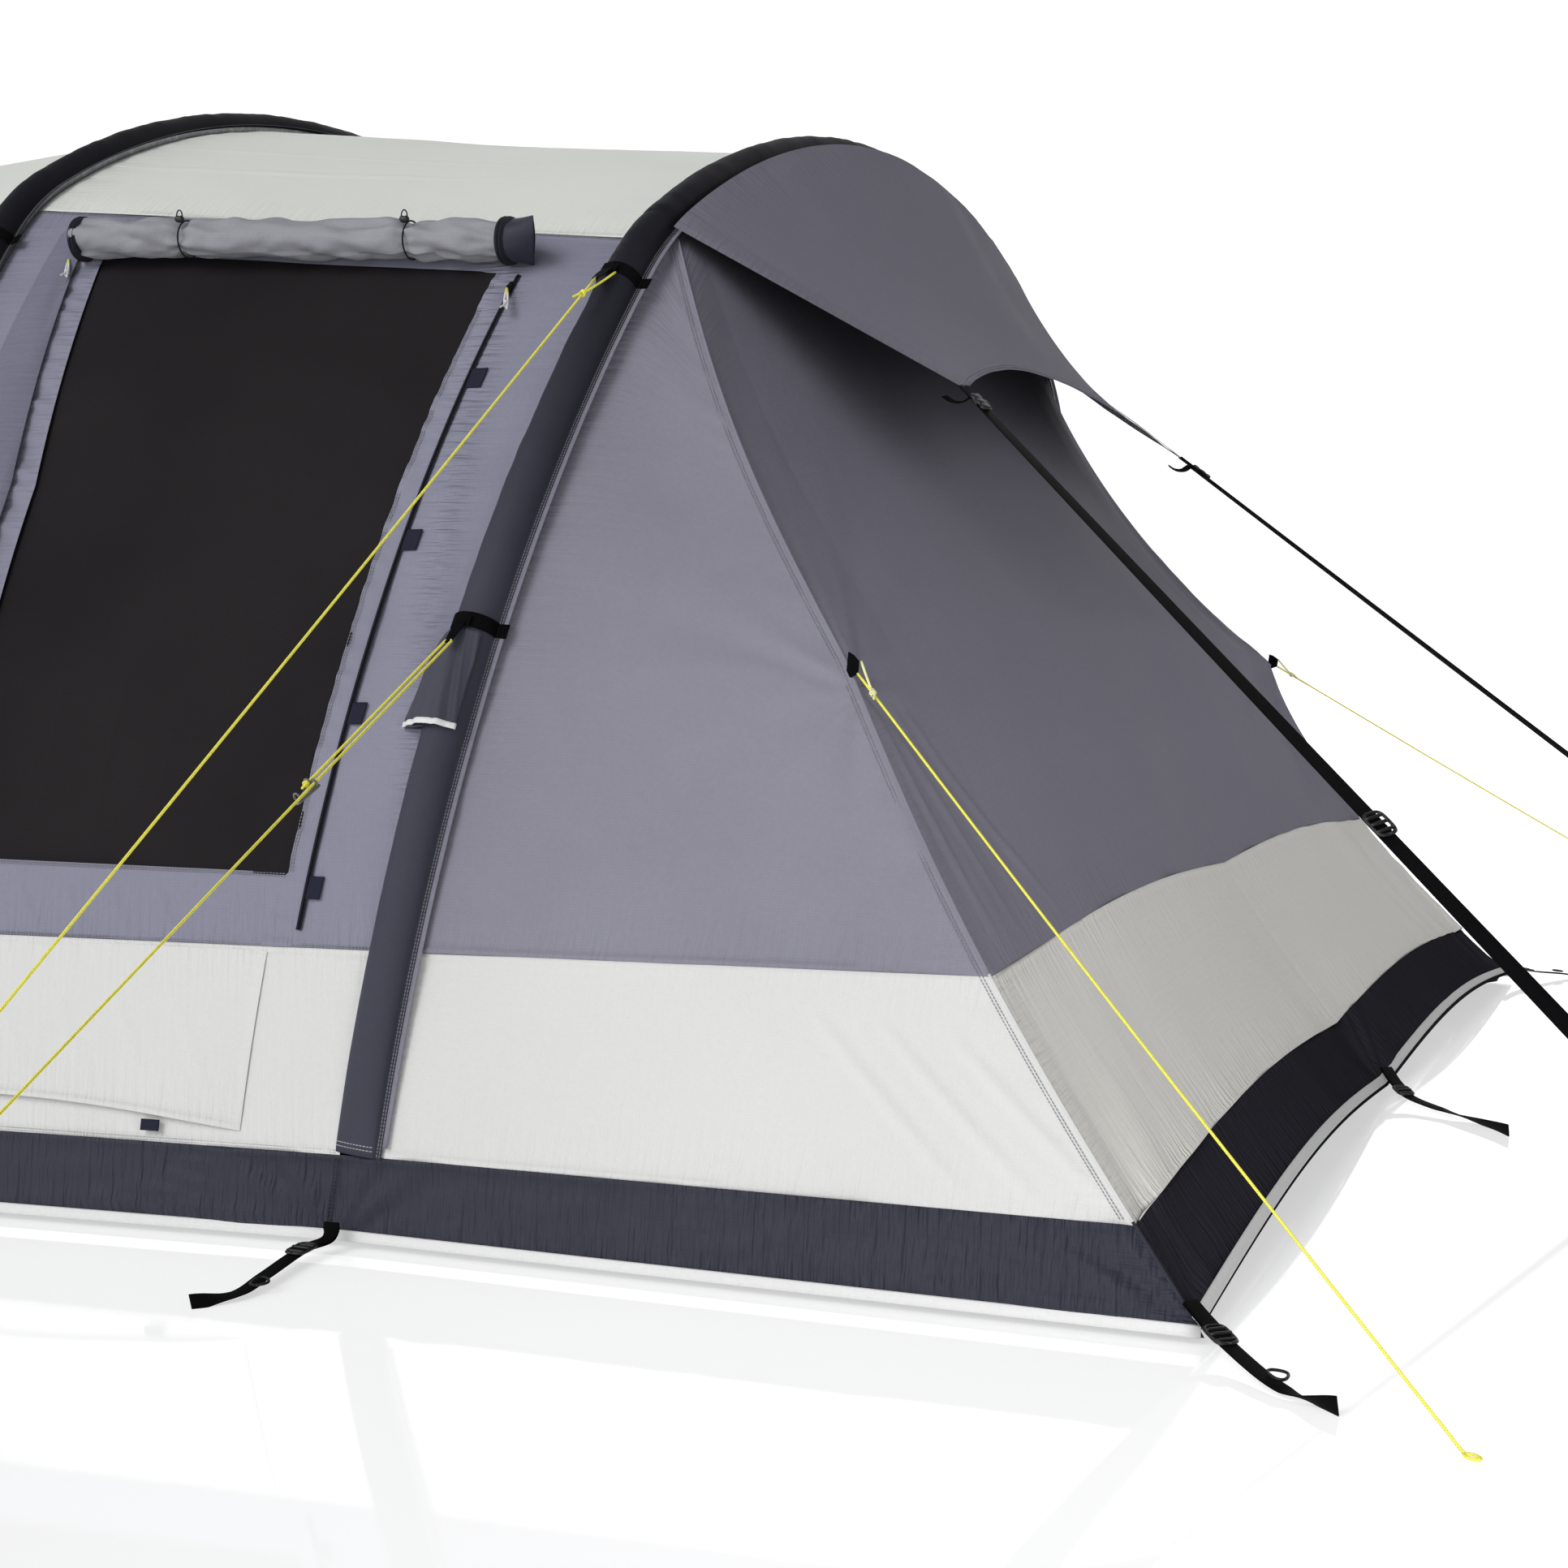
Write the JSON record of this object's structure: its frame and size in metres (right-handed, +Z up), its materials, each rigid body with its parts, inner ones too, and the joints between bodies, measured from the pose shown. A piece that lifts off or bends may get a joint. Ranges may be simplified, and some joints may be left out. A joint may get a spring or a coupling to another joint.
{
  "type": "tunnel tent",
  "caption": "Tunnel tent held up by air beams in sewn sleeves, with a window blind, a hooded sloping rear end, guylines and peg straps.",
  "frame": {"origin": "on the floor, under the groundsheet, on the centre line below the top of the middle air beam", "axes": "+X along the tunnel towards the sloping rear end, +Y to the far side, +Z up"},
  "size_m": [5.41, 5.2574, 2.1743],
  "materials": {
    "roof_fabric": "pale coated polyester",
    "wall_fabric": "grey ripstop polyester",
    "end_fabric": "darker grey ripstop polyester",
    "light_fabric": "off-white coated polyester",
    "dark_fabric": "dark blue-grey polyester",
    "sleeve_fabric": "black polyester canvas",
    "window_mesh": "fine black mesh",
    "groundsheet_fabric": "woven sheet",
    "air_beam_film": "air-tight film tube",
    "webbing": "black polypropylene webbing",
    "guyline_cord": "yellow braided cord",
    "black_plastic": "moulded nylon",
    "grey_plastic": "moulded nylon"
  },
  "bodies": {
    "tent": {"roof_front_bay": "roof_fabric", "roof_rear_bay": "roof_fabric", "wall_front_bay_near": "wall_fabric", "wall_front_bay_far": "wall_fabric", "wall_rear_bay_near": "wall_fabric", "wall_rear_bay_far": "wall_fabric", "front_wall": "wall_fabric", "rolled_blind": "wall_fabric", "end_side_near": "end_fabric", "end_side_far": "end_fabric", "end_wall": "end_fabric", "hood": "end_fabric", "lower_front_bay_near": "light_fabric", "lower_front_bay_far": "light_fabric", "lower_rear_bay_near": "light_fabric", "lower_rear_bay_far": "light_fabric", "end_lower_side_near": "light_fabric", "end_lower_side_far": "light_fabric", "end_lower_rear": "light_fabric", "ground_band_near": "dark_fabric", "ground_band_far": "dark_fabric", "ground_band_rear": "dark_fabric", "ground_band_front": "dark_fabric", "sleeve_front": "sleeve_fabric", "sleeve_middle": "sleeve_fabric", "sleeve_rear": "sleeve_fabric", "guyline_pocket": "sleeve_fabric", "window_near": "window_mesh", "groundsheet": "groundsheet_fabric", "air_beam_front": "air_beam_film", "air_beam_middle": "air_beam_film", "air_beam_rear": "air_beam_film", "guy_band_upper": "webbing", "guy_band_middle": "webbing", "seam_tab_near": "webbing", "seam_tab_far": "webbing", "peg_strap_rear_near": "webbing", "peg_strap_rear_far": "webbing", "peg_strap_middle_near": "webbing", "peg_strap_middle_far": "webbing", "peg_strap_corner_near": "webbing", "peg_strap_corner_far": "webbing", "peg_strap_end_middle": "webbing", "hood_strap_near": "webbing", "hood_strap_far": "webbing", "guyline_upper": "guyline_cord", "guyline_middle": "guyline_cord", "guyline_corner_near": "guyline_cord", "guyline_corner_far": "guyline_cord", "zip_front": "black_plastic", "zip_rear": "black_plastic"},
    "front_door": {"front_door": "wall_fabric"},
    "zip_slider_front": {"zip_slider_front": "black_plastic"},
    "zip_slider_rear": {"zip_slider_rear": "black_plastic"},
    "valve_cap_front": {"valve_cap_front": "grey_plastic"},
    "valve_cap_middle": {"valve_cap_middle": "grey_plastic"},
    "valve_cap_rear": {"valve_cap_rear": "grey_plastic"},
    "guyline_runner": {"guyline_runner": "grey_plastic"},
    "strap_buckle": {"strap_buckle": "black_plastic"}
  },
  "joints": [
    {"name": "front_door_swing", "type": "hinge", "parent": "tent", "child": "front_door", "pos_m": [-1.7645, -0.545, 0.1417], "axis": [-0.0599, 0, 0.9982], "range_deg": [0, 110]},
    {"name": "zip_slider_front_run", "type": "hinge", "parent": "tent", "child": "zip_slider_front", "pos_m": [0.57256, 1.36478, -0.4637], "axis": [0.9908, 0, 0.1354], "range_deg": [0, 22]},
    {"name": "zip_slider_rear_run", "type": "hinge", "parent": "tent", "child": "zip_slider_rear", "pos_m": [1.17327, 1.27105, -0.43185], "axis": [0.9997, 0, -0.025], "range_deg": [0, 21.2]},
    {"name": "valve_cap_front_turn", "type": "hinge", "parent": "tent", "child": "valve_cap_front", "pos_m": [-1.7809, 1.90267, 0.51502], "axis": [-0.0172, 0.9577, 0.2874], "range_deg": [0, 720]},
    {"name": "valve_cap_middle_turn", "type": "hinge", "parent": "tent", "child": "valve_cap_middle", "pos_m": [0.28245, 1.90263, 0.515], "axis": [-0.0484, 0.9577, 0.2838], "range_deg": [0, 720]},
    {"name": "valve_cap_rear_turn", "type": "hinge", "parent": "tent", "child": "valve_cap_rear", "pos_m": [1.36095, 1.70909, 0.51584], "axis": [0.0182, 0.9528, 0.3032], "range_deg": [0, 720]},
    {"name": "guyline_runner_slide", "type": "slide", "parent": "tent", "child": "guyline_runner", "axis": [0.0034, -0.8555, -0.5177], "range_m": [-0.26, 0.12]},
    {"name": "strap_buckle_slide", "type": "slide", "parent": "tent", "child": "strap_buckle", "axis": [0.6763, -0.4567, -0.5779], "range_m": [-0.45, 0.6]}
  ]
}
